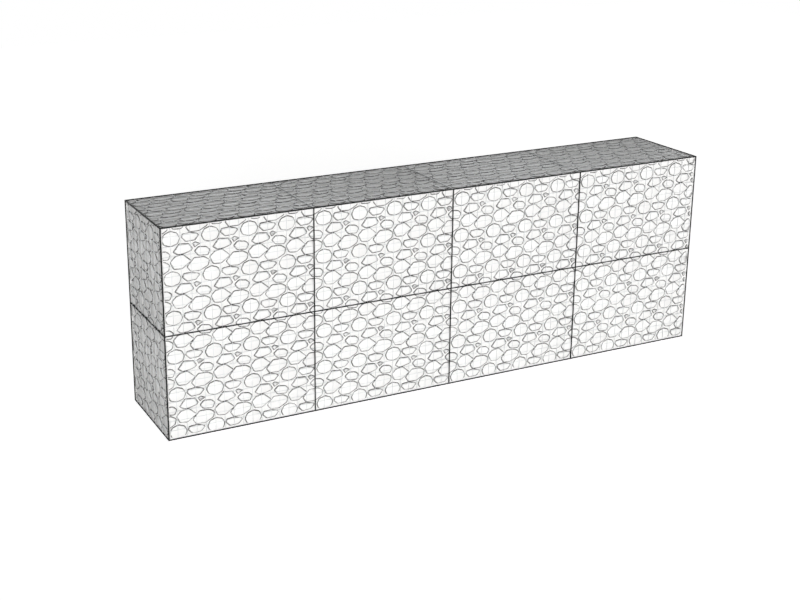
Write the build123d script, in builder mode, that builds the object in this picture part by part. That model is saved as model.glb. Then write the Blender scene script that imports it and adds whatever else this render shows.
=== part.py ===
from build123d import *
import os

# Gabion wall: welded mesh baskets filled with stone, stacked in courses and joined into a straight run.
# X runs along the wall, Y from its front face to its back face, Z up from the ground.
# The origin is the middle of the footprint. Sizes are in millimetres.

# Driving sizes of the run of baskets
bay_count = 4
course_count = 2
bay_length = 1200.0
course_height = 825.0
wall_depth = 825.0
sheet_bays = 2  # bays that one base, lid or course joint panel runs over

# Welded mesh
mesh_pitch = 75.0  # spacing of the mesh wires, both ways
mesh_wire = 3.0  # thickness of each mesh wire
border_strip = 4.0  # width of the flat strip round each panel, which is as deep as the panel
layer_gap = 0.3  # clearance between the two layers of wire in a panel, and between neighbouring face panels

# A panel is as deep as its two layers of wire. The corner rods and the diaphragms are as thick.
panel_depth = 2 * mesh_wire + layer_gap
wall_length = bay_count * bay_length
wall_height = course_count * course_height
inner_depth = wall_depth / 2 - panel_depth  # from the middle plane to the inner side of the face panels

# Outer faces of the wall, each with its normal pointing outwards
front_face = Plane.XZ.offset(wall_depth / 2)
left_face = Plane(origin=(-wall_length / 2, 0, 0), x_dir=(0, -1, 0), z_dir=(-1, 0, 0))
base_face = Plane(origin=(0, 0, 0), x_dir=(1, 0, 0), z_dir=(0, 0, -1))
mid_height = Plane.XY.offset(wall_height / 2)


def joint_line(index, count, pitch):
    """Centre of one joint along a run that is centred on zero."""
    return (index - count / 2) * pitch


def joint_band(index, count, pitch):
    """Both sides of a joint: the corner rod at an end of the run, else the diaphragm centred on the joint."""
    joint = joint_line(index, count, pitch)
    if index == 0:
        return joint, joint + panel_depth
    if index == count:
        return joint - panel_depth, joint
    return joint - panel_depth / 2, joint + panel_depth / 2


def fill_span(index, count, pitch):
    """Span of the stone in one bay or course, between the joints on its two sides."""
    return joint_band(index, count, pitch)[1], joint_band(index + 1, count, pitch)[0]


def panel_span(index, count, pitch):
    """Span of one face panel: from a corner rod at an end of the run, else from beside the next panel."""
    start, end = fill_span(index, count, pitch)
    if index > 0:
        start = joint_line(index, count, pitch) + layer_gap / 2
    if index < count - 1:
        end = joint_line(index + 1, count, pitch) - layer_gap / 2
    return start, end


def lifted(span):
    """A span along the height, measured from the ground instead of from mid height."""
    return span[0] + wall_height / 2, span[1] + wall_height / 2


def wire_lines(start, end):
    """Mesh wires between two joints: the even division that is nearest to the mesh pitch."""
    spaces = round((end - start) / mesh_pitch)
    return [start + (end - start) * space / spaces for space in range(1, spaces)]


def border_ring(across, up):
    """Adds the border strip round a panel to the current sketch."""
    width = across[1] - across[0]
    height = up[1] - up[0]
    with Locations(((across[0] + across[1]) / 2, (up[0] + up[1]) / 2)):
        Rectangle(width, height)
        Rectangle(width - 2 * border_strip, height - 2 * border_strip, mode=Mode.SUBTRACT)


def mesh_panel(face, across, up, upright_lines, level_lines):
    """A welded panel set into an outer face: a border, upright wires at the face, level wires behind them."""
    width = across[1] - across[0]
    height = up[1] - up[0]
    middle = (across[0] + across[1]) / 2
    mid_up = (up[0] + up[1]) / 2
    with BuildPart() as panel:
        with BuildSketch(face):
            border_ring(across, up)
        extrude(amount=-panel_depth)
        with BuildSketch(face):
            with Locations(*[(line, mid_up) for line in upright_lines]):
                Rectangle(mesh_wire, height - border_strip)
        extrude(amount=-mesh_wire)
        with BuildSketch(face.offset(mesh_wire - panel_depth)):
            with Locations(*[(middle, line) for line in level_lines]):
                Rectangle(width - border_strip, mesh_wire)
        extrude(amount=-mesh_wire)
    return panel


def block(x_span, y_span, z_span):
    """Adds a straight block between three pairs of planes to the current part."""
    spans = (x_span, y_span, z_span)
    with Locations(tuple(sum(span) / 2 for span in spans)):
        Box(*[span[1] - span[0] for span in spans])


def write(piece, name):
    """Labels a finished piece and writes it under its name."""
    piece.part.label = name
    export_step(piece.part, f"parts/{name}.step")


os.makedirs("parts", exist_ok=True)

# Bay joints and course joints, and what lies between them
bay_joints = [joint_line(joint, bay_count, bay_length) for joint in range(bay_count + 1)]
bay_bands = [joint_band(joint, bay_count, bay_length) for joint in range(bay_count + 1)]
bay_fills = [fill_span(bay, bay_count, bay_length) for bay in range(bay_count)]
bay_panels = [panel_span(bay, bay_count, bay_length) for bay in range(bay_count)]
bay_wires = [wire_lines(bay_joints[bay], bay_joints[bay + 1]) for bay in range(bay_count)]

course_bands = [lifted(joint_band(joint, course_count, course_height)) for joint in range(course_count + 1)]
course_fills = [lifted(fill_span(course, course_count, course_height)) for course in range(course_count)]
course_panels = [lifted(panel_span(course, course_count, course_height)) for course in range(course_count)]
course_wires = [
    wire_lines(course * course_height, (course + 1) * course_height) for course in range(course_count)
]

depth_span = (-inner_depth, inner_depth)
depth_wires = wire_lines(-wall_depth / 2, wall_depth / 2)

# Each base, lid or course joint panel runs from its first to its last bay joint, and stops at the corner rods
sheet_ends = [(first, min(first + sheet_bays, bay_count)) for first in range(0, bay_count, sheet_bays)]
sheet_wires = [wire_lines(bay_joints[first], bay_joints[last]) for first, last in sheet_ends]
sheet_spans = [
    (max(bay_joints[first], bay_bands[0][1]), min(bay_joints[last], bay_bands[-1][0]))
    for first, last in sheet_ends
]

# Baskets: front panel, back panel and stone fill of every bay in every course
for course in range(course_count):
    for bay in range(bay_count):
        basket = f"course{course + 1}_bay{bay + 1}"

        front_panel = mesh_panel(
            front_face, bay_panels[bay], course_panels[course], bay_wires[bay], course_wires[course]
        )
        write(front_panel, f"{basket}_front_panel")

        with BuildPart() as back_panel:
            mirror(front_panel.part, about=Plane.XZ)
        write(back_panel, f"{basket}_back_panel")

        with BuildPart() as stone_fill:
            block(bay_fills[bay], depth_span, course_fills[course])
        write(stone_fill, f"{basket}_stone_fill")

# End panels, which close the two ends of each course between the corner rods
for course in range(course_count):
    left_end_panel = mesh_panel(
        left_face, depth_span, course_panels[course], depth_wires, course_wires[course]
    )
    write(left_end_panel, f"course{course + 1}_left_end_panel")

    with BuildPart() as right_end_panel:
        mirror(left_end_panel.part, about=Plane.YZ)
    write(right_end_panel, f"course{course + 1}_right_end_panel")

# Base panels under the lowest course and lids on the highest
for sheet, (span, wires) in enumerate(zip(sheet_spans, sheet_wires)):
    base_panel = mesh_panel(base_face, span, depth_span, wires, depth_wires)
    write(base_panel, f"base_panel{sheet + 1}")

    with BuildPart() as lid_panel:
        mirror(base_panel.part, about=mid_height)
    write(lid_panel, f"lid_panel{sheet + 1}")

# Diaphragms between neighbouring baskets of a course. Stone hides them, so only their borders are made.
for course in range(course_count):
    with BuildPart() as diaphragms:
        for near_side, far_side in bay_bands[1:-1]:
            with BuildSketch(Plane.YZ.offset(near_side)):
                border_ring(depth_span, course_fills[course])
            extrude(amount=far_side - near_side)
    write(diaphragms, f"course{course + 1}_diaphragms")

# Panels between two courses. Stone hides them too, so only their borders are made.
for joint, (lower_side, upper_side) in enumerate(course_bands[1:-1]):
    for sheet, span in enumerate(sheet_spans):
        with BuildPart() as joint_panel:
            with BuildSketch(Plane.XY.offset(lower_side)):
                border_ring(span, depth_span)
            extrude(amount=upper_side - lower_side)
        write(joint_panel, f"course_joint{joint + 1}_panel{sheet + 1}")

# Level corner rods along the front and the back edges, over the whole length
front_band = (-wall_depth / 2, -inner_depth)

with BuildPart() as front_level_rods:
    for band in (course_bands[0], course_bands[-1]):
        block((bay_joints[0], bay_joints[-1]), front_band, band)
write(front_level_rods, "front_level_rods")

with BuildPart() as back_level_rods:
    mirror(front_level_rods.part, about=Plane.XZ)
write(back_level_rods, "back_level_rods")

# Upright corner rods of each course, front and back, between the level rods
for course in range(course_count):
    with BuildPart() as front_upright_rods:
        for band in (bay_bands[0], bay_bands[-1]):
            block(band, front_band, course_panels[course])
    write(front_upright_rods, f"course{course + 1}_front_upright_rods")

    with BuildPart() as back_upright_rods:
        mirror(front_upright_rods.part, about=Plane.XZ)
    write(back_upright_rods, f"course{course + 1}_back_upright_rods")

# Level corner rods across each end, from the front rods to the back rods
with BuildPart() as left_end_rods:
    for band in (course_bands[0], course_bands[-1]):
        block(bay_bands[0], depth_span, band)
write(left_end_rods, "left_end_rods")

with BuildPart() as right_end_rods:
    mirror(left_end_rods.part, about=Plane.YZ)
write(right_end_rods, "right_end_rods")
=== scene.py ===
"""Looks of a gabion wall: single stones, welded mesh and edge bars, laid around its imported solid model.

Every piece is built in metres in the wall's own frame: X along the wall, Y from front to back, Z up.
Sizes that belong to the stones and the wires are written in millimetres and turned once, by MM.
"""

from __future__ import annotations

import logging
import math
import random
from dataclasses import dataclass, field
from enum import Enum
from typing import Iterable, Sequence

import bmesh
import bpy
from mathutils import Euler, Matrix, Vector


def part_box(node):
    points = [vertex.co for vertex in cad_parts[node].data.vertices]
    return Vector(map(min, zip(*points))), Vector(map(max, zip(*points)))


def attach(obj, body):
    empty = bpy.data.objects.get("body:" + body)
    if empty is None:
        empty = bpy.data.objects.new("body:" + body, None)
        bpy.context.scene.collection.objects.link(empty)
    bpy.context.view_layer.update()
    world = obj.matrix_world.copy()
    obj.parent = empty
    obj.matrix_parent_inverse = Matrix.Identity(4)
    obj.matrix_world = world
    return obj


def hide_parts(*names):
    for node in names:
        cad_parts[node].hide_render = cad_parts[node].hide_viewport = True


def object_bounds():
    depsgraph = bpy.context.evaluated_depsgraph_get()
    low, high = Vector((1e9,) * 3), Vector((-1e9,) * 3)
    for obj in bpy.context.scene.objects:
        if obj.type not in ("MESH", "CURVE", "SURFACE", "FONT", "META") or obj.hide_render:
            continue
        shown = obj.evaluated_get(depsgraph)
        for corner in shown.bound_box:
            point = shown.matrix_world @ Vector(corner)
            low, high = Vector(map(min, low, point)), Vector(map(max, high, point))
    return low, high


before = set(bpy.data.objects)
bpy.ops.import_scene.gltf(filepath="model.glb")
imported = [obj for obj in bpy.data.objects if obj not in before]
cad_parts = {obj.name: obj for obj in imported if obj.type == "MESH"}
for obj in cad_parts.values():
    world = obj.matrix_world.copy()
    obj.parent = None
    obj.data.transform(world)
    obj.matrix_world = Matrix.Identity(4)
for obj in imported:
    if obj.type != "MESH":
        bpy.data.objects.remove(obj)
cad_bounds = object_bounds()

LOG = logging.getLogger("gabion_wall")
MM = 0.001
DECIMALS = 6
SEED = 1200825

Span = tuple[float, float]
NodeInputs = dict[str | int, object]
BMesh = bmesh.types.BMesh
Material = bpy.types.Material


# Finishes

# Sockets of the colour mix node by number, because several of them share a name
FACTOR, FIRST, SECOND, BLEND = 0, 6, 7, 2

# How fine the layers of a noise are
SMOOTH, CLOUDY, GRAINY = ({"Detail": detail, "Roughness": 0.55} for detail in (1.0, 2.0, 3.0))


def linear_colour(hex_code: str) -> tuple[float, float, float, float]:
    """Turns an sRGB hex colour into a linear one.

    Args:
        hex_code: Six hex digits, such as "F2F1EE".

    Returns:
        Linear red, green, blue and an alpha of 1.
    """
    channels = []
    for start in (0, 2, 4):
        value = int(hex_code[start:start + 2], 16) / 255
        channels.append(value / 12.92 if value <= 0.04045 else ((value + 0.055) / 1.055) ** 2.4)
    return channels[0], channels[1], channels[2], 1.0


def add_node(
    tree: bpy.types.NodeTree,
    kind: str,
    inputs: NodeInputs | None = None,
    size_mm: float | None = None,
    **settings: object,
) -> bpy.types.Node:
    """Adds one node with its settings and all that feeds it.

    Args:
        tree: The node tree that gets the node.
        kind: The node's type name.
        inputs: A value or another node's output socket for each input, by its name or number.
        size_mm: For a pattern on the object's own coordinates, the real size of one of its grains.
        settings: The node's own properties.

    Returns:
        The new node.
    """
    node = tree.nodes.new(kind)
    for name, setting in settings.items():
        setattr(node, name, setting)
    sources = dict(inputs or {})
    if size_mm is not None:
        sources["Vector"] = tree.nodes.new("ShaderNodeTexCoord").outputs["Object"]
        sources["Scale"] = 1 / (size_mm * MM)
    for key, source in sources.items():
        if isinstance(source, bpy.types.NodeSocket):
            tree.links.new(source, node.inputs[key])
        else:
            node.inputs[key].default_value = source
    return node


def new_material(name: str) -> tuple[Material, bpy.types.NodeTree]:
    """Makes an empty node material.

    Args:
        name: The material's name.

    Returns:
        The material and its node tree.
    """
    material = bpy.data.materials.new(name)
    material.use_nodes = True
    material.node_tree.nodes.clear()
    return material, material.node_tree


def finish_surface(
    tree: bpy.types.NodeTree, inputs: NodeInputs, bumps: Sequence[tuple[bpy.types.NodeSocket, float]]
) -> None:
    """Adds the bumps, the surface shader and the output.

    Args:
        tree: The material's node tree.
        inputs: What feeds the surface shader.
        bumps: Height sockets, each with the rise from its 0 to its 1 in millimetres, below zero for a drop.
    """
    relief: NodeInputs = {}
    for height, rise_mm in bumps:
        raised = {"Height": height, "Distance": abs(rise_mm) * MM, "Strength": 1.0, **relief}
        relief = {"Normal": add_node(tree, "ShaderNodeBump", raised, invert=rise_mm < 0).outputs[0]}
    surface = add_node(tree, "ShaderNodeBsdfPrincipled", {**inputs, **relief})
    add_node(tree, "ShaderNodeOutputMaterial", {"Surface": surface.outputs[0]})


@dataclass(frozen=True)
class QuarriedLimestone:
    """White limestone, broken and tumbled: matt and finely grained, with grime and painted shade darkening
    the rims where stones meet.
    """

    pale: str = "F7F7F6"
    dull: str = "F1F0EF"
    # Dark colour at each stone's outline: grime in the joints and painted shade where the stones meet.
    joint_dirt_and_shade: str = "2E2D2C"
    stain_mm: float = 70.0
    stain_span: Span = (0.45, 0.9)
    # Noise that breaks up the edge of the painted joint shade and grime.
    rim_breakup_mm: float = 9.0
    rim_breakup: float = 0.36
    dirt_and_shade_span: Span = (0.44, 0.92)
    lump_mm: float = 18.0
    lump_rise: float = 1.2
    grain_mm: float = 3.0
    grain_rise: float = 0.35
    roughness: float = 0.82

    def make(self) -> Material:
        """Builds the material, which reads each stone's own tone and its rim from attributes.

        Returns:
            The finished material.
        """
        material, tree = new_material("quarried_limestone")
        tone, rim = (
            add_node(tree, "ShaderNodeAttribute", attribute_name=name).outputs["Fac"]
            for name in (StoneCourse.TONE, StoneCourse.RIM)
        )
        stain, rim_breakup, lump = (
            add_node(tree, "ShaderNodeTexNoise", CLOUDY, size_mm).outputs[0]
            for size_mm in (self.stain_mm, self.rim_breakup_mm, self.lump_mm)
        )
        grain = add_node(tree, "ShaderNodeTexNoise", GRAINY, self.grain_mm).outputs[0]
        spread = {0: rim_breakup, 1: self.rim_breakup, 2: -self.rim_breakup / 2}
        rim_offset = add_node(tree, "ShaderNodeMath", spread, operation="MULTIPLY_ADD").outputs[0]
        # The rim mask darkens each stone towards its outline: grime and painted shade in the joints.
        rim_dirt_and_shade = add_node(tree, "ShaderNodeMath", {0: rim, 1: rim_offset}, operation="ADD").outputs[0]
        stained, dirt_and_shade_mask = (
            add_node(
                tree,
                "ShaderNodeMapRange",
                {"Value": value, "From Min": low, "From Max": high},
                interpolation_type="SMOOTHSTEP",
            ).outputs[0]
            for value, (low, high) in ((stain, self.stain_span), (rim_dirt_and_shade, self.dirt_and_shade_span))
        )
        colour = linear_colour(self.pale)
        for factor, tint in ((tone, self.dull), (stained, self.dull), (dirt_and_shade_mask, self.joint_dirt_and_shade)):
            mixed = {FACTOR: factor, FIRST: colour, SECOND: linear_colour(tint)}
            colour = add_node(tree, "ShaderNodeMix", mixed, data_type="RGBA").outputs[BLEND]
        finish_surface(
            tree,
            {"Base Color": colour, "Roughness": self.roughness, "IOR": 1.5, "Specular IOR Level": 0.3},
            [(lump, self.lump_rise), (grain, self.grain_rise)],
        )
        return material


@dataclass(frozen=True)
class LimestoneChippings:
    """Crushed limestone packed between the stones: sharp pale chips with fine seams in painted shade, fully
    matt.
    """

    pale: str = "FAFAF9"
    dull: str = "F7F6F5"
    seam_shade: str = "E9E7E4"
    chip_mm: float = 14.0
    seam_width: float = 0.05
    seam_depth: float = 0.6
    dome: float = 0.7
    dust_mm: float = 4.0
    dust_rise: float = 0.3
    roughness: float = 0.9

    def make(self) -> Material:
        """Builds the material, in which a seam's width is a share of a chip's size.

        Returns:
            The finished material.
        """
        material, tree = new_material("limestone_chippings")
        chips, seams = (
            add_node(tree, "ShaderNodeTexVoronoi", size_mm=self.chip_mm, feature=feature)
            for feature in ("F1", "DISTANCE_TO_EDGE")
        )
        single = add_node(tree, "ShaderNodeSeparateColor", {0: chips.outputs["Color"]}).outputs[0]
        ends = {"Value": seams.outputs["Distance"], "From Max": self.seam_width}
        open_chip = add_node(tree, "ShaderNodeMapRange", ends, interpolation_type="SMOOTHSTEP").outputs[0]
        tints = {FACTOR: single, FIRST: linear_colour(self.pale), SECOND: linear_colour(self.dull)}
        tinted = add_node(tree, "ShaderNodeMix", tints, data_type="RGBA").outputs[BLEND]
        # Painted shade in the seams between the chips.
        parts = {FACTOR: open_chip, FIRST: linear_colour(self.seam_shade), SECOND: tinted}
        colour = add_node(tree, "ShaderNodeMix", parts, data_type="RGBA").outputs[BLEND]
        dust = add_node(tree, "ShaderNodeTexNoise", CLOUDY, self.dust_mm).outputs[0]
        finish_surface(
            tree,
            {"Base Color": colour, "Roughness": self.roughness, "IOR": 1.5, "Specular IOR Level": 0.25},
            [(open_chip, self.seam_depth), (chips.outputs["Distance"], -self.dome), (dust, self.dust_rise)],
        )
        return material


@dataclass(frozen=True)
class ZincCoatedWire:
    """Drawn steel wire with a zinc coating that has begun to dull: part metal, part pale matt patina."""

    name: str = "zinc_coated_wire"
    bright: str = "E6E8E9"
    cloudy: str = "D6D9DB"
    cloud_mm: float = 30.0
    metallic: float = 0.3
    roughness: float = 0.6
    uneven: float = 0.2
    drawn_mm: float = 5.0
    drawn_rise: float = 0.05

    def make(self) -> Material:
        """Builds the material.

        Returns:
            The finished material.
        """
        material, tree = new_material(self.name)
        cloud = add_node(tree, "ShaderNodeTexNoise", CLOUDY, self.cloud_mm).outputs[0]
        tints = {FACTOR: cloud, FIRST: linear_colour(self.bright), SECOND: linear_colour(self.cloudy)}
        colour = add_node(tree, "ShaderNodeMix", tints, data_type="RGBA").outputs[BLEND]
        spread = {0: cloud, 1: self.uneven, 2: self.roughness - self.uneven / 2}
        roughness = add_node(tree, "ShaderNodeMath", spread, operation="MULTIPLY_ADD").outputs[0]
        drawn = add_node(tree, "ShaderNodeTexNoise", SMOOTH, self.drawn_mm).outputs[0]
        finish_surface(
            tree,
            {"Base Color": colour, "Roughness": roughness, "Metallic": self.metallic},
            [(drawn, self.drawn_rise)],
        )
        return material


@dataclass(frozen=True)
class DustyShadedZinc(ZincCoatedWire):
    """The same zinc where it lies among the stones: darkened as painted shade, and almost fully matt under
    stone dust.
    """

    name: str = "dust_covered_zinc_strip"
    # Darker than the bare zinc: painted shade where the strips lie among the stones.
    bright: str = "A9AAAB"
    cloudy: str = "9B9C9D"
    metallic: float = 0.05
    roughness: float = 0.85


@dataclass(frozen=True)
class BlackPolyesterCoating:
    """Steel bar under a baked black polyester powder coating: satin, with a faint orange peel."""

    black: str = "08090A"
    dusty: str = "121315"
    dust_mm: float = 60.0
    dust_span: Span = (0.5, 0.8)
    peel_mm: float = 2.5
    peel_rise: float = 0.04
    roughness: float = 0.6

    def make(self) -> Material:
        """Builds the material.

        Returns:
            The finished material.
        """
        material, tree = new_material("black_polyester_coating")
        dust = add_node(tree, "ShaderNodeTexNoise", GRAINY, self.dust_mm).outputs[0]
        ends = {"Value": dust, "From Min": self.dust_span[0], "From Max": self.dust_span[1]}
        dusted = add_node(tree, "ShaderNodeMapRange", ends, interpolation_type="SMOOTHSTEP").outputs[0]
        tints = {FACTOR: dusted, FIRST: linear_colour(self.black), SECOND: linear_colour(self.dusty)}
        colour = add_node(tree, "ShaderNodeMix", tints, data_type="RGBA").outputs[BLEND]
        peel = add_node(tree, "ShaderNodeTexNoise", SMOOTH, self.peel_mm).outputs[0]
        finish_surface(
            tree,
            {"Base Color": colour, "Roughness": self.roughness, "IOR": 1.5, "Specular IOR Level": 0.2},
            [(peel, self.peel_rise)],
        )
        return material


# Layout, read from the solid model


def main_axis(direction: Vector) -> int:
    """The axis that a direction runs along: 0 along the wall, 1 through it and 2 up it."""
    return max(range(3), key=lambda index: abs(direction[index]))


class Facing(Enum):
    """An outer face of the wall: the directions along it, up it and out of it, as seen from outside."""

    FRONT = ((1, 0, 0), (0, 0, 1), (0, -1, 0))
    BACK = ((-1, 0, 0), (0, 0, 1), (0, 1, 0))
    LEFT = ((0, -1, 0), (0, 0, 1), (-1, 0, 0))
    RIGHT = ((0, 1, 0), (0, 0, 1), (1, 0, 0))
    TOP = ((1, 0, 0), (0, 1, 0), (0, 0, 1))
    BOTTOM = ((1, 0, 0), (0, -1, 0), (0, 0, -1))

    @property
    def along(self) -> Vector:
        """Direction that runs along the face."""
        return Vector(self.value[0])

    @property
    def up(self) -> Vector:
        """Direction that runs up the face."""
        return Vector(self.value[1])

    @property
    def outward(self) -> Vector:
        """Direction that points out of the face."""
        return Vector(self.value[2])

    @property
    def turn(self) -> Matrix:
        """Matrix that turns X along the face, Y up it and Z out of it."""
        return Matrix((self.along, self.up, self.outward)).transposed().to_4x4()


@dataclass(frozen=True)
class Block:
    """A straight box between its lowest and its highest corner."""

    low: Vector
    high: Vector

    @classmethod
    def spanning(cls, along: Span, through: Span, up: Span) -> Block:
        """The box over three spans: along the wall, through it and up it."""
        return cls(*[Vector(corner) for corner in zip(along, through, up)])

    @property
    def middle(self) -> Vector:
        """The box's centre."""
        return (self.low + self.high) / 2

    @property
    def size(self) -> Vector:
        """The box's three lengths."""
        return self.high - self.low

    @property
    def cube_place(self) -> Matrix:
        """Matrix that makes this box of a cube of 1 m round the origin."""
        return Matrix.Translation(self.middle) @ Matrix.Diagonal((*self.size, 1.0))

    def corner_on(self, facing: Facing) -> Vector:
        """The corner on one face: the highest where that face looks towards a positive axis."""
        return self.high if sum(facing.outward) > 0 else self.low


@dataclass(frozen=True)
class Basket:
    """The stone-filled inside of one basket, and its faces that show on the outside of the wall."""

    name: str
    block: Block
    shown: tuple[Facing, ...]


@dataclass
class WallLayout:
    """Where the baskets, panels and bars of the wall lie, taken from the solid model's nodes."""

    outline: Block
    bays: list[Span]
    courses: list[Span]
    depth: Span

    @classmethod
    def from_frame(cls) -> WallLayout:
        """Reads the spans between the edge bars from the fill nodes.

        Returns:
            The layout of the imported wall.
        """
        boxes = [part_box(name) for name in sorted(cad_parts) if name.endswith("_stone_fill")]
        bays, courses = (
            sorted({(round(low[axis], DECIMALS), round(high[axis], DECIMALS)) for low, high in boxes})
            for axis in (0, 2)
        )
        outline = Block(Vector(cad_bounds[0]), Vector(cad_bounds[1]))
        return cls(outline, bays, courses, (boxes[0][0].y, boxes[0][1].y))

    @property
    def panel_depth(self) -> float:
        """Thickness of a mesh panel, from the wall's face to the stones."""
        return self.depth[0] - self.outline.low.y

    def bands(self, spans: list[Span], low: float, high: float) -> list[Span]:
        """Bands of the bars that lie before, between and after a row of spans.

        Args:
            spans: The clear spans between the bars, in order.
            low: The wall's lowest place along this direction.
            high: The wall's highest place along this direction.

        Returns:
            The bands, one more than there are spans.
        """
        edges = [low] + [place for span in spans for place in span] + [high]
        return list(zip(edges[0::2], edges[1::2]))

    @property
    def bay_bands(self) -> list[Span]:
        """Bands of the upright bars along the wall."""
        return self.bands(self.bays, self.outline.low.x, self.outline.high.x)

    @property
    def course_bands(self) -> list[Span]:
        """Bands of the level bars up the wall."""
        return self.bands(self.courses, self.outline.low.z, self.outline.high.z)

    def baskets(self) -> list[Basket]:
        """The baskets, course by course from the ground, and from the left end to the right.

        Returns:
            Every basket of the wall.
        """
        baskets = []
        for course, height in enumerate(self.courses):
            for bay, length in enumerate(self.bays):
                ends = {
                    Facing.LEFT: bay == 0,
                    Facing.RIGHT: bay == len(self.bays) - 1,
                    Facing.BOTTOM: course == 0,
                    Facing.TOP: course == len(self.courses) - 1,
                }
                shown = (Facing.FRONT, Facing.BACK, *(facing for facing in ends if ends[facing]))
                block = Block.spanning(length, self.depth, height)
                baskets.append(Basket(f"course{course + 1}_bay{bay + 1}", block, shown))
        return baskets


# Shapes


def bevel(mesh: BMesh, items: Sequence[bmesh.types.BMEdge | bmesh.types.BMVert], offset: float) -> None:
    """Rounds edges with two faces each, or cuts corners with one.

    Args:
        mesh: The mesh of the edges or corners.
        items: The edges or the corners.
        offset: How far back they are cut.
    """
    affect, segments = ("EDGES", 2) if isinstance(items[0], bmesh.types.BMEdge) else ("VERTICES", 1)
    bmesh.ops.bevel(
        mesh, geom=items, offset=offset, affect=affect, segments=segments, profile=0.5, material=-1
    )


def solid_bar(mesh: BMesh, block: Block, rounding: float) -> None:
    """Adds a straight bar with rounded edges.

    Args:
        mesh: The mesh that gets the bar.
        block: The bar's box.
        rounding: How far the edges are rounded.
    """
    corners = bmesh.ops.create_cube(mesh, size=1.0, matrix=block.cube_place)["verts"]
    bevel(mesh, list({edge for corner in corners for edge in corner.link_edges}), rounding)


def straight_wire(mesh: BMesh, start: Vector, end: Vector, diameter: float, sides: int) -> None:
    """Adds a straight round wire.

    Args:
        mesh: The mesh that gets the wire.
        start: Centre of its first end.
        end: Centre of its last end.
        diameter: The wire's diameter.
        sides: Faces round the wire.
    """
    run = end - start
    place = Matrix.Translation((start + end) / 2) @ run.to_track_quat("Z", "Y").to_matrix().to_4x4()
    bmesh.ops.create_cone(
        mesh,
        cap_ends=True,
        segments=sides,
        radius1=diameter / 2,
        radius2=diameter / 2,
        depth=run.length,
        matrix=place,
    )


def make_piece(
    mesh: BMesh,
    name: str,
    material: Material,
    replaced: Iterable[str] = (),
    smooth: bool = True,
) -> None:
    """Turns a finished mesh into a piece that rides on the wall.

    Args:
        mesh: The finished mesh, which is freed.
        name: The piece's name.
        material: Its finish.
        replaced: The solid model's nodes that it stands for.
        smooth: Whether its faces are shaded smooth.
    """
    for face in mesh.faces:
        face.smooth = smooth
    data = bpy.data.meshes.new(name)
    mesh.to_mesh(data)
    mesh.free()
    data.materials.append(material)
    piece = bpy.data.objects.new(name, data)
    bpy.context.scene.collection.objects.link(piece)
    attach(piece, "root")
    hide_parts(*replaced)
    LOG.info("%s: %d faces", name, len(data.polygons))


# Stones


class StoneOutline(Enum):
    """The stones of the repeating pattern, as outlines in millimetres on a square tile."""

    ROUND = ((10, 58), (32, 100), (80, 116), (127, 99), (147, 60), (131, 18), (80, 2), (29, 16))
    FLAT = ((160, 60), (170, 85), (225, 90), (275, 76), (287, 62), (258, 30), (192, 26))
    WEDGE = ((243, 302), (262, 312), (295, 298), (258, 277))
    GABLED = ((100, 258), (142, 312), (212, 306), (237, 268), (228, 252), (175, 237), (130, 236))
    OBLONG = ((-43, 245), (-12, 274), (45, 267), (71, 242), (54, 203), (-18, 210))
    LEAF = ((68, 185), (105, 222), (165, 232), (228, 176), (155, 125), (95, 130))
    BROAD = ((195, 135), (250, 196), (325, 194), (364, 168), (356, 125), (292, 92), (222, 95))

    @property
    def corners(self) -> list[Vector]:
        """The outline's corners, in millimetres."""
        return [Vector(corner) for corner in self.value]

    @property
    def centre(self) -> Vector:
        """Mean of the outline's corners, in millimetres."""
        return sum(self.corners, Vector((0.0, 0.0))) / len(self.corners)

    @property
    def inner_radius(self) -> float:
        """Least distance from the centre to a side, in millimetres."""
        sides = zip(self.corners, self.corners[1:] + self.corners[:1])
        return min(abs((end - start).normalized().cross(self.centre - start)) for start, end in sides)


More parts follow.
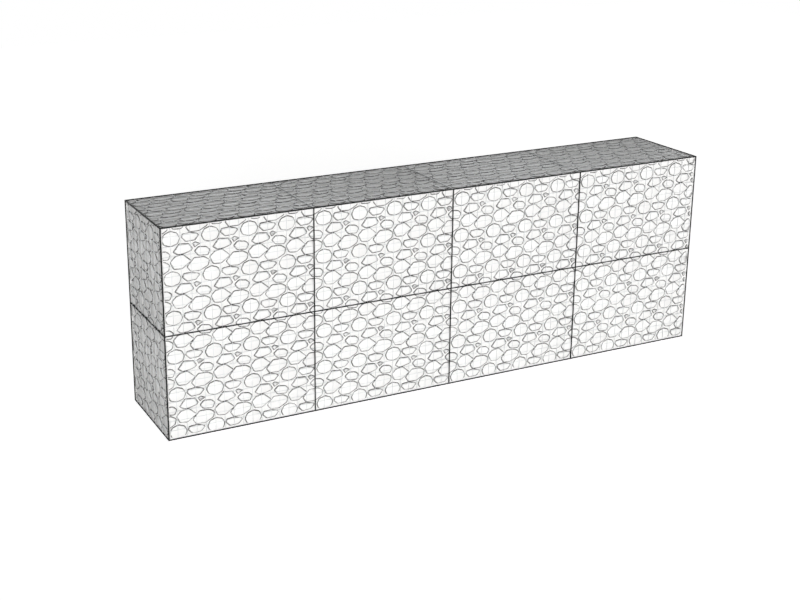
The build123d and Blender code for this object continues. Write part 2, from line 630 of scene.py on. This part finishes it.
@dataclass(frozen=True)
class StoneShape:
    """How a stone is rounded from its outline, in millimetres, with depths measured behind the mesh."""

    tile: float = 300.0
    outline_growth: float = 3.8
    corner: float = 8.0
    corner_side_share: float = 0.24
    corner_radius_share: float = 0.25
    back_depth: float = 30.0
    back_taper: float = 0.86
    girth_depth: float = 7.0
    shoulder_inset: float = 6.0
    shoulder_share: float = 0.5
    shoulder_depth: float = 4.5
    crown_inset: float = 10.0
    crown_share: float = 0.7
    crown_depth: float = 2.2
    top_depth: float = 0.9
    # Share of the painted joint shade and grime that the shoulder ring takes; the outline takes all, the
    # crown none.
    shoulder_dirt_and_shade: float = 0.76
    unevenness: float = 0.6
    variants: int = 3
    tilt: float = math.radians(0.8)
    setback: float = 1.0

    def carve(self, outline: StoneOutline, dice: random.Random) -> bpy.types.Mesh:
        """Makes one stone, centred on its outline, with its crown towards +Z.

        Args:
            outline: The outline seen from the front.
            dice: The source of its unevenness.

        Returns:
            The stone as a closed mesh in millimetres.
        """
        stone = bmesh.new()
        rim = stone.verts.layers.float.new(StoneCourse.RIM)
        scale = 1 + self.outline_growth / outline.inner_radius
        for corner in outline.corners:
            stone.verts.new(((corner - outline.centre) * scale).to_3d())
        stone.faces.new(stone.verts)
        stone.normal_update()
        if stone.faces[:][0].normal.z < 0:
            bmesh.ops.reverse_faces(stone, faces=stone.faces[:])
        shortest = min(edge.calc_length() for edge in stone.edges)
        limits = (self.corner_side_share * shortest, self.corner_radius_share * outline.inner_radius)
        bevel(stone, stone.verts[:], min(self.corner, *limits))
        back = stone.verts[:]
        bmesh.ops.translate(stone, vec=(0, 0, -self.back_depth), verts=back)
        wall = bmesh.ops.extrude_face_region(stone, geom=stone.faces[:])["geom"]
        girth = [item for item in wall if isinstance(item, bmesh.types.BMVert)]
        crown = next(item for item in wall if isinstance(item, bmesh.types.BMFace))
        bmesh.ops.translate(stone, vec=(0, 0, self.back_depth - self.girth_depth), verts=girth)
        bmesh.ops.scale(stone, vec=(self.back_taper, self.back_taper, 1), verts=back)
        inset = min(self.shoulder_inset, self.shoulder_share * outline.inner_radius)
        crown_scale = 1 - min(self.crown_inset / (outline.inner_radius - inset), self.crown_share)
        bmesh.ops.inset_individual(
            stone, faces=[crown], thickness=inset, depth=self.girth_depth - self.shoulder_depth
        )
        # The rim values steer painted shade and grime in the stone's material: full at the outline, less on
        # the shoulder, none on the crown.
        for vertex in stone.verts:
            vertex[rim] = 1.0
        for vertex in crown.verts:
            vertex[rim] = self.shoulder_dirt_and_shade
        raised = bmesh.ops.extrude_discrete_faces(stone, faces=[crown])["faces"][0]
        ring = raised.verts[:]
        bmesh.ops.translate(stone, vec=(0, 0, self.shoulder_depth - self.crown_depth), verts=ring)
        bmesh.ops.scale(stone, vec=(crown_scale, crown_scale, 1), verts=ring)
        middle = bmesh.ops.poke(stone, faces=[raised], offset=self.crown_depth - self.top_depth)["verts"]
        for vertex in ring + middle:
            vertex[rim] = 0.0
        for vertex in stone.verts:
            if vertex.co.z > -self.back_depth + self.unevenness:
                vertex.co += Vector([dice.uniform(-1, 1) * self.unevenness for _ in range(3)])
        bmesh.ops.recalc_face_normals(stone, faces=stone.faces)
        data = bpy.data.meshes.new(f"stone_{outline.name.lower()}")
        stone.to_mesh(data)
        stone.free()
        return data


@dataclass
class StoneCourse:
    """Lays the stones behind the open faces of a basket and packs chippings behind and between them."""

    RIM = "rim"
    TONE = "tone"

    layout: WallLayout
    stone_finish: Material
    chip_finish: Material
    seen_from: Vector
    shape: StoneShape = StoneShape()
    reach: float = 150.0
    bed_depth: float = 7.5
    bank_depth: float = 1.5
    bank_width: float = 9.0
    chip_pitch: float = 27.0
    chip_scatter: float = 8.0
    chip_rise: float = 0.8
    edge_reach: float = 1.5
    edge_hold: float = 0.7
    cut_snap: float = 0.001
    face_snap: float = 0.01
    dice: random.Random = field(default_factory=lambda: random.Random(SEED))
    stones: dict[StoneOutline, list[bpy.types.Mesh]] = field(default_factory=dict)

    def __post_init__(self) -> None:
        """Carves a few variants of each stone."""
        for outline in StoneOutline:
            self.stones[outline] = [self.shape.carve(outline, self.dice) for _ in range(self.shape.variants)]

    @classmethod
    def stone_mesh(cls) -> BMesh:
        """Makes an empty mesh whose points carry a stone's rim and tone.

        Returns:
            The new mesh.
        """
        mesh = bmesh.new()
        for layer in (cls.RIM, cls.TONE):
            mesh.verts.layers.float.new(layer)
        return mesh

    def pattern_place(self, facing: Facing) -> Matrix:
        """Matrix from the pattern's millimetres to a face of the wall.

        Args:
            facing: The face that carries the pattern.

        Returns:
            A matrix whose origin is the wall's corner on that face.
        """
        low, high = self.layout.outline.low, self.layout.outline.high
        starts = {
            Facing.BACK: Vector((high.x, high.y, low.z)),
            Facing.RIGHT: Vector((high.x, low.y, low.z)),
            Facing.TOP: Vector((low.x, low.y, high.z)),
        }
        return Matrix.Translation(starts.get(facing, low)) @ facing.turn @ Matrix.Scale(MM, 4)

    def seat(self, drawn: Vector, facing: Facing) -> Vector:
        """Place of a stone whose outline is drawn at a point of the wall's own face.

        The stones lie behind the mesh, so on a face that is seen, a stone slides along the line of sight
        until its rim is as deep as it should be. From there it still looks as drawn.

        Args:
            drawn: The stone's centre on the wall's face.
            facing: The face that it shows on.

        Returns:
            The stone's centre, level with the back of the mesh.
        """
        sight = drawn - self.seen_from
        towards = -sight.dot(facing.outward)
        rim_depth = self.layout.panel_depth + self.shape.shoulder_depth * MM
        slide = sight * (rim_depth / towards) if towards > 0 else Vector()
        slide -= facing.outward * slide.dot(facing.outward)
        return drawn + slide - facing.outward * self.layout.panel_depth

    def lay_face(self, mesh: BMesh, basket: Basket, facing: Facing) -> None:
        """Lays every stone of the pattern that reaches into one face of a basket.

        Args:
            mesh: The mesh that gets the stones.
            basket: The basket.
            facing: The face behind which they lie.
        """
        place = self.pattern_place(facing)
        ends = [place.inverted() @ corner for corner in (basket.block.low, basket.block.high)]
        low = Vector([min(end[axis] for end in ends) - self.reach for axis in range(2)])
        high = Vector([max(end[axis] for end in ends) + self.reach for axis in range(2)])
        tile = self.shape.tile
        for column in range(math.floor(low.x / tile), math.ceil(high.x / tile)):
            for row in range(math.floor(low.y / tile), math.ceil(high.y / tile)):
                for outline in StoneOutline:
                    centre = outline.centre + Vector((column, row)) * tile
                    if low.x < centre.x < high.x and low.y < centre.y < high.y:
                        seated = place.copy()
                        seated.translation = self.seat(place @ centre.to_3d(), facing)
                        name = f"{facing.name} {outline.name} {column} {row}"
                        self.place_stone(mesh, outline, seated, random.Random(name))

    def place_stone(self, mesh: BMesh, outline: StoneOutline, place: Matrix, dice: random.Random) -> None:
        """Adds one stone, with its own variant, tilt, depth and tone.

        Args:
            mesh: The mesh that gets the stone.
            outline: The stone's outline.
            place: Matrix from the stone's millimetres to the wall.
            dice: The stone's own source of chance, alike in the two baskets that share a stone.
        """
        variant = dice.choice(self.stones[outline])
        tilt = Euler([dice.uniform(-1, 1) * self.shape.tilt for _ in range(2)] + [0.0]).to_matrix().to_4x4()
        sunk = Matrix.Translation((0, 0, -self.shape.setback * dice.random()))
        first = len(mesh.verts)
        mesh.from_mesh(variant)
        mesh.verts.ensure_lookup_table()
        added = mesh.verts[first:]
        bmesh.ops.transform(mesh, matrix=place @ sunk @ tilt, verts=added)
        tone = mesh.verts.layers.float[self.TONE]
        shade = dice.random()
        for vertex in added:
            vertex[tone] = shade

    def trim(self, mesh: BMesh, basket: Basket, facing: Facing) -> None:
        """Cuts the stones of one face off at the basket's other faces.

        Where that face shows too, the cut is a mitre, so that the stones of both faces meet.

        Args:
            mesh: The stones of this face alone.
            basket: The basket.
            facing: The face behind which they lie.
        """
        for side in Facing:
            axis = main_axis(side.outward)
            if axis == main_axis(facing.outward):
                continue
            point = basket.block.corner_on(facing).copy()
            point[axis] = basket.block.corner_on(side)[axis]
            cut = side.outward - facing.outward if side in basket.shown else side.outward
            result = bmesh.ops.bisect_plane(
                mesh,
                geom=mesh.verts[:] + mesh.edges[:] + mesh.faces[:],
                dist=self.cut_snap * MM,
                plane_co=point,
                plane_no=cut.normalized(),
                clear_outer=True,
            )
            edges = [item for item in result["geom_cut"] if isinstance(item, bmesh.types.BMEdge)]
            bmesh.ops.holes_fill(mesh, edges=edges, sides=0)

    def build_stones(self, basket: Basket) -> None:
        """Builds the stones of one basket.

        Args:
            basket: The basket.
        """
        whole = self.stone_mesh()
        for facing in basket.shown:
            face = self.stone_mesh()
            self.lay_face(face, basket, facing)
            self.trim(face, basket, facing)
            part = bpy.data.meshes.new("face_of_stones")
            face.to_mesh(part)
            face.free()
            whole.from_mesh(part)
            bpy.data.meshes.remove(part)
        fill = f"{basket.name}_stone_fill"
        make_piece(whole, f"{basket.name}_stones", self.stone_finish, [fill])

    def build_packing(self, basket: Basket) -> None:
        """Builds the block of chippings behind the stones of one basket.

        Args:
            basket: The basket.
        """
        low, high = basket.block.low.copy(), basket.block.high.copy()
        for facing in basket.shown:
            axis = main_axis(facing.outward)
            if facing.outward[axis] > 0:
                high[axis] -= self.bed_depth * MM
            else:
                low[axis] += self.bed_depth * MM
        packed = Block(low, high)
        mesh = bmesh.new()
        bmesh.ops.create_cube(mesh, size=1.0, matrix=packed.cube_place)
        for axis in range(3):
            edges = [
                edge for edge in mesh.edges
                if abs((edge.verts[0].co - edge.verts[1].co)[axis]) > 0.5 * packed.size[axis]
            ]
            cuts = round(packed.size[axis] / (self.chip_pitch * MM)) - 1
            bmesh.ops.subdivide_edges(mesh, edges=edges, cuts=cuts)
        self.scatter(mesh, packed, basket)
        bmesh.ops.triangulate(mesh, faces=mesh.faces[:], quad_method="SHORT_EDGE")
        make_piece(mesh, f"{basket.name}_packing", self.chip_finish, smooth=False)

    def scatter(self, mesh: BMesh, packed: Block, basket: Basket) -> None:
        """Moves the block's points so that its open faces look like crushed stone, banked at the edges.

        Args:
            mesh: The divided block.
            packed: The block's box.
            basket: The basket.
        """
        for vertex in mesh.verts:
            touched = [
                facing for facing in Facing
                if abs((vertex.co - packed.corner_on(facing)).dot(facing.outward)) < self.face_snap * MM
            ]
            open_sides = [facing for facing in touched if facing in basket.shown]
            moves = Vector([self.dice.uniform(-1, 1) for _ in range(3)]) * self.chip_scatter * MM
            beside = [facing for facing in basket.shown if open_sides and facing not in touched]
            for facing in beside:
                gap = (packed.corner_on(facing) - vertex.co).dot(facing.outward)
                if gap < self.edge_reach * self.chip_pitch * MM:
                    held = self.edge_hold * facing.outward.dot(moves)
                    moves += facing.outward * (gap - self.bank_width * MM - held)
            for facing in touched:
                moves -= facing.outward * facing.outward.dot(moves)
            vertex.co += moves
            for facing in open_sides:
                if len(open_sides) > 1:
                    edge = basket.block.corner_on(facing) - facing.outward * self.bank_depth * MM
                    vertex.co += facing.outward * (edge - vertex.co).dot(facing.outward)
                else:
                    vertex.co += facing.outward * self.dice.uniform(-1, 1) * self.chip_rise * MM


# Steel


@dataclass(frozen=True)
class Panel:
    """One mesh panel, or a row of them: its nodes, its box and the face of the wall that it lies in."""

    name: str
    nodes: tuple[str, ...]
    facing: Facing
    block: Block

    @property
    def across(self) -> int:
        """Axis along the panel."""
        return main_axis(self.facing.along)

    @property
    def upward(self) -> int:
        """Axis up the panel."""
        return main_axis(self.facing.up)

    @property
    def through(self) -> int:
        """Axis through the panel."""
        return main_axis(self.facing.outward)

    @property
    def face(self) -> float:
        """Place of the panel's outer face along the axis through it."""
        return self.block.corner_on(self.facing)[self.through]

    def behind(self, depth: float) -> float:
        """Place at a depth behind the outer face."""
        return self.face - self.facing.outward[self.through] * depth


@dataclass
class WeldedMesh:
    """Mesh panels: upright wires outside, level wires welded behind them, and a black strip round both."""

    layout: WallLayout
    wire_finish: Material
    border_finish: Material
    wire: float = 3.0
    border: float = 4.0
    pitch: float = 75.0
    weld_sink: float = 0.4
    sides: int = 8
    border_rounding: float = 0.7
    sharp: float = math.radians(60)

    def joints(self, axis: int) -> list[float]:
        """The joint lines of the wall along one axis.

        Args:
            axis: 0 along the wall, 1 through it and 2 up it.

        Returns:
            The wall's two ends and the middles of the joints between them.
        """
        outline = self.layout.outline
        bands = {0: self.layout.bay_bands, 1: [], 2: self.layout.course_bands}[axis]
        inner = [(low + high) / 2 for low, high in bands[1:-1]]
        return [outline.low[axis], *inner, outline.high[axis]]

    def wire_places(self, panel: Panel, axis: int) -> list[float]:
        """Places of a panel's wires along one axis, evenly divided from joint to joint at the mesh pitch.

        Args:
            panel: The panel.
            axis: The axis along which the wires are spaced.

        Returns:
            The places of the inner wires, and of the joint wire where the next sheet begins.
        """
        joints = self.joints(axis)
        first = min(joints, key=lambda joint: abs(joint - panel.block.low[axis]))
        last = min(joints, key=lambda joint: abs(joint - panel.block.high[axis]))
        spaces = round((last - first) / (self.pitch * MM))
        places = [first + (last - first) * space / spaces for space in range(1, spaces)]
        if panel.facing in (Facing.TOP, Facing.BOTTOM) and last < joints[-1]:
            places.append(last)
        return places

    def lay_wires(self, mesh: BMesh, panel: Panel, run: int, crossed: int, depth: float) -> None:
        """Lays one layer of a panel's wires.

        Args:
            mesh: The mesh that gets the wires.
            panel: The panel.
            run: The axis along which the wires run.
            crossed: The axis along which they are spaced.
            depth: How far their centres lie behind the panel's face.
        """
        for place in self.wire_places(panel, crossed):
            start, end = Vector(), Vector()
            start[run] = panel.block.low[run] + 0.5 * self.border * MM
            end[run] = panel.block.high[run] - 0.5 * self.border * MM
            start[crossed] = end[crossed] = place
            start[panel.through] = end[panel.through] = panel.behind(depth)
            straight_wire(mesh, start, end, self.wire * MM, self.sides)

    def build_wires(self, panel: Panel) -> None:
        """Builds the two layers of wire of one panel.

        Args:
            panel: The panel.
        """
        mesh = bmesh.new()
        outer = 0.5 * self.wire * MM
        self.lay_wires(mesh, panel, panel.upward, panel.across, outer)
        self.lay_wires(mesh, panel, panel.across, panel.upward, outer + (self.wire - self.weld_sink) * MM)
        make_piece(mesh, f"{panel.name}_mesh", self.wire_finish, panel.nodes)

    def build_border(self, panel: Panel) -> None:
        """Builds the strip round one panel: a face that is inset, opened, thickened and rounded.

        Args:
            panel: The panel, or a row of sheets that share one strip.
        """
        size = panel.block.size
        width, height = size[panel.across], size[panel.upward]
        middle = panel.block.middle
        middle[panel.through] = panel.face
        mesh = bmesh.new()
        bmesh.ops.create_grid(mesh, x_segments=1, y_segments=1, size=0.5)
        bmesh.ops.scale(mesh, vec=(width, height, 1), verts=mesh.verts)
        opening = mesh.faces[:]
        bmesh.ops.inset_individual(mesh, faces=opening, thickness=self.border * MM)
        bmesh.ops.delete(mesh, geom=opening, context="FACES_ONLY")
        strip = bmesh.ops.extrude_face_region(mesh, geom=mesh.faces[:])["geom"]
        back = [item for item in strip if isinstance(item, bmesh.types.BMVert)]
        bmesh.ops.translate(mesh, vec=(0, 0, -size[panel.through]), verts=back)
        bmesh.ops.recalc_face_normals(mesh, faces=mesh.faces)
        edges = [edge for edge in mesh.edges if edge.calc_face_angle(0.0) > self.sharp]
        bevel(mesh, edges, self.border_rounding * MM)
        bmesh.ops.transform(mesh, matrix=Matrix.Translation(middle) @ panel.facing.turn, verts=mesh.verts)
        make_piece(mesh, f"{panel.name}_border", self.border_finish, panel.nodes)

    def build(self) -> None:
        """Builds the panels that show. The sheets on the top share one border, and so do those below."""
        words = {
            "front": Facing.FRONT,
            "back": Facing.BACK,
            "left_end": Facing.LEFT,
            "right_end": Facing.RIGHT,
            "lid": Facing.TOP,
            "base": Facing.BOTTOM,
        }
        for word, facing in words.items():
            panels = [
                Panel(node.replace("_panel", ""), (node,), facing, Block(*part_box(node)))
                for node in sorted(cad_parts)
                if f"{word}_panel" in node
            ]
            for panel in panels:
                self.build_wires(panel)
            if facing in (Facing.TOP, Facing.BOTTOM):
                sheets = Block(panels[0].block.low, panels[-1].block.high)
                nodes = tuple(panel.nodes[0] for panel in panels)
                panels = [Panel(word, nodes, facing, sheets)]
            for panel in panels:
                self.build_border(panel)


@dataclass
class Partitions:
    """Partitions inside the wall: only the strips round them show, between the stones of two baskets."""

    layout: WallLayout
    upright_finish: Material
    level_finish: Material
    border: float = 4.0
    rounding: float = 0.7

    def build_set(self, course: int) -> None:
        """Builds the strips round the partitions of one course: black uprights, and dusty zinc levels
        darkened with painted shade.

        Args:
            course: The course, counted from 0 at the ground.
        """
        (near, far), (bottom, top) = self.layout.depth, self.layout.courses[course]
        strip = self.border * MM
        uprights, levels = bmesh.new(), bmesh.new()
        for band in self.layout.bay_bands[1:-1]:
            for side in ((near, near + strip), (far - strip, far)):
                solid_bar(uprights, Block.spanning(band, side, (bottom, top)), self.rounding * MM)
            for side in ((bottom, bottom + strip), (top - strip, top)):
                level = Block.spanning(band, (near + strip, far - strip), side)
                solid_bar(levels, level, self.rounding * MM)
        name = f"course{course + 1}_diaphragm"
        make_piece(uprights, f"{name}_uprights", self.upright_finish, [f"{name}s"])
        make_piece(levels, f"{name}_levels", self.level_finish, [f"{name}s"])

    def build(self) -> None:
        """Builds the strips of the partitions and coats the panels between the two courses."""
        for course in range(len(self.layout.courses)):
            self.build_set(course)
        for node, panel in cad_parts.items():
            if node.startswith("course_joint"):
                for slot in panel.material_slots:
                    slot.material = self.upright_finish


@dataclass
class CornerBars:
    """Black-coated bars along the wall's outer edges."""

    layout: WallLayout
    finish: Material
    rounding: float = 1.6

    def build_set(self, node: str, blocks: Iterable[Block]) -> None:
        """Builds the bars that stand for one node.

        Args:
            node: The solid model's rods.
            blocks: The box of each bar.
        """
        mesh = bmesh.new()
        for block in blocks:
            solid_bar(mesh, block, self.rounding * MM)
        make_piece(mesh, node.replace("_rods", "_bars"), self.finish, [node])

    def build(self) -> None:
        """Builds every set of bars."""
        layout, outline = self.layout, self.layout.outline
        bay_ends = (layout.bay_bands[0], layout.bay_bands[-1])
        course_ends = (layout.course_bands[0], layout.course_bands[-1])
        length = (outline.low.x, outline.high.x)
        sides = {"front": (outline.low.y, layout.depth[0]), "back": (layout.depth[1], outline.high.y)}
        for side, band in sides.items():
            self.build_set(f"{side}_level_rods", [Block.spanning(length, band, end) for end in course_ends])
            for course in range(len(layout.courses)):
                node = f"course{course + 1}_{side}_upright_rods"
                height = tuple(corner.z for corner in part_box(node))
                self.build_set(node, [Block.spanning(end, band, height) for end in bay_ends])
        for side, band in zip(("left", "right"), bay_ends):
            cross = [Block.spanning(band, layout.depth, end) for end in course_ends]
            self.build_set(f"{side}_end_rods", cross)


# Studio


@dataclass(frozen=True)
class FarLamp:
    """An even, soft lamp from far away: the way it shines, its width as an angle, and its strength."""

    name: str
    shines: tuple[float, float, float]
    width: float
    strength: float

    def hang(self) -> None:
        """Hangs the lamp."""
        data = bpy.data.lights.new(self.name, "SUN")
        data.angle = self.width
        data.energy = self.strength
        lamp = bpy.data.objects.new(self.name, data)
        lamp.rotation_euler = Vector(self.shines).to_track_quat("-Z", "Y").to_euler()
        bpy.context.scene.collection.objects.link(lamp)


@dataclass
class Studio:
    """Camera, pale floor, white surround, soft key light, and a weak light on the two far sides."""

    camera_place: tuple[float, float, float] = (-5.213, -9.134, 4.411)
    camera_turn: tuple[float, float, float] = (72.58, 0.0, -26.19)
    lens_mm: float = 60.57
    sensor_mm: float = 36.0
    shift_x: float = 0.0655
    shift_y: float = -0.0754
    key: FarLamp = FarLamp("key_light", (0.338, 1.0, -0.174), math.radians(24), 2.97)
    back: FarLamp = FarLamp("back_light", (-0.8, -1.0, -0.12), math.radians(60), 1.1)
    floor_width: float = 36.0
    surround_light: float = 0.13
    floor_colour: str = "E6E6E5"
    floor_glow: float = 0.78

    def build(self) -> None:
        """Builds the whole studio."""
        self.place_camera()
        self.lay_floor()
        self.light_surround()
        self.key.hang()
        self.back.hang()
        bpy.context.scene.view_settings.view_transform = "Standard"

    def place_camera(self) -> None:
        """Sets the camera where the wall was drawn from."""
        data = bpy.data.cameras.new("camera")
        data.lens = self.lens_mm
        data.sensor_width = self.sensor_mm
        data.shift_x = self.shift_x
        data.shift_y = self.shift_y
        camera = bpy.data.objects.new("camera", data)
        camera.location = self.camera_place
        camera.rotation_euler = [math.radians(angle) for angle in self.camera_turn]
        bpy.context.scene.collection.objects.link(camera)
        bpy.context.scene.camera = camera

    def lay_floor(self) -> None:
        """Lays the floor, which keeps the wall's shadow and looks white where none falls."""
        mesh = bmesh.new()
        bmesh.ops.create_grid(mesh, x_segments=1, y_segments=1, size=self.floor_width / 2)
        data = bpy.data.meshes.new("floor")
        mesh.to_mesh(data)
        mesh.free()
        floor = bpy.data.objects.new("floor", data)
        bpy.context.scene.collection.objects.link(floor)
        material, tree = new_material("pale_floor")
        matt = add_node(tree, "ShaderNodeBsdfDiffuse", {"Color": linear_colour(self.floor_colour)})
        glow = add_node(tree, "ShaderNodeEmission", {"Strength": self.floor_glow})
        lit = add_node(tree, "ShaderNodeAddShader", {0: matt.outputs[0], 1: glow.outputs[0]})
        looks = {0: self.seen_directly(tree), 1: matt.outputs[0], 2: lit.outputs[0]}
        surface = add_node(tree, "ShaderNodeMixShader", looks)
        add_node(tree, "ShaderNodeOutputMaterial", {"Surface": surface.outputs[0]})
        data.materials.append(material)

    def seen_directly(self, tree: bpy.types.NodeTree) -> bpy.types.NodeSocket:
        """Tells what the camera, a shiny surface or a clear one sees from what only gives light.

        Args:
            tree: The node tree of a material or of the world.

        Returns:
            1 for what is seen and 0 for what only lights.
        """
        path = add_node(tree, "ShaderNodeLightPath")
        seen = path.outputs["Is Camera Ray"]
        for ray in ("Is Glossy Ray", "Is Transmission Ray"):
            either = {0: seen, 1: path.outputs[ray]}
            seen = add_node(tree, "ShaderNodeMath", either, operation="MAXIMUM").outputs[0]
        return seen

    def light_surround(self) -> None:
        """Makes the surround white to look at and a soft even fill as a light."""
        world = bpy.data.worlds.new("white_surround")
        world.use_nodes = True
        tree = world.node_tree
        tree.nodes.clear()
        colour = linear_colour("FFFFFF")
        fill, white = (
            add_node(tree, "ShaderNodeBackground", {"Color": colour, "Strength": strength}).outputs[0]
            for strength in (self.surround_light, 1.0)
        )
        looks = {0: self.seen_directly(tree), 1: fill, 2: white}
        surround = add_node(tree, "ShaderNodeMixShader", looks)
        add_node(tree, "ShaderNodeOutputWorld", {"Surface": surround.outputs[0]})
        bpy.context.scene.world = world


def main() -> None:
    """Builds the wall's looks in order: studio, stones, mesh, partitions and bars."""
    logging.basicConfig(level=logging.INFO, format="%(name)s %(message)s")
    Studio().build()
    layout = WallLayout.from_frame()
    seen_from = Vector(Studio.camera_place)
    stones = StoneCourse(layout, QuarriedLimestone().make(), LimestoneChippings().make(), seen_from)
    for basket in layout.baskets():
        stones.build_stones(basket)
        stones.build_packing(basket)
    coating = BlackPolyesterCoating().make()
    zinc = ZincCoatedWire().make()
    dusty_shaded_zinc = DustyShadedZinc().make()
    WeldedMesh(layout, zinc, coating).build()
    Partitions(layout, coating, dusty_shaded_zinc).build()
    CornerBars(layout, coating).build()


if __name__ == "__main__":
    main()
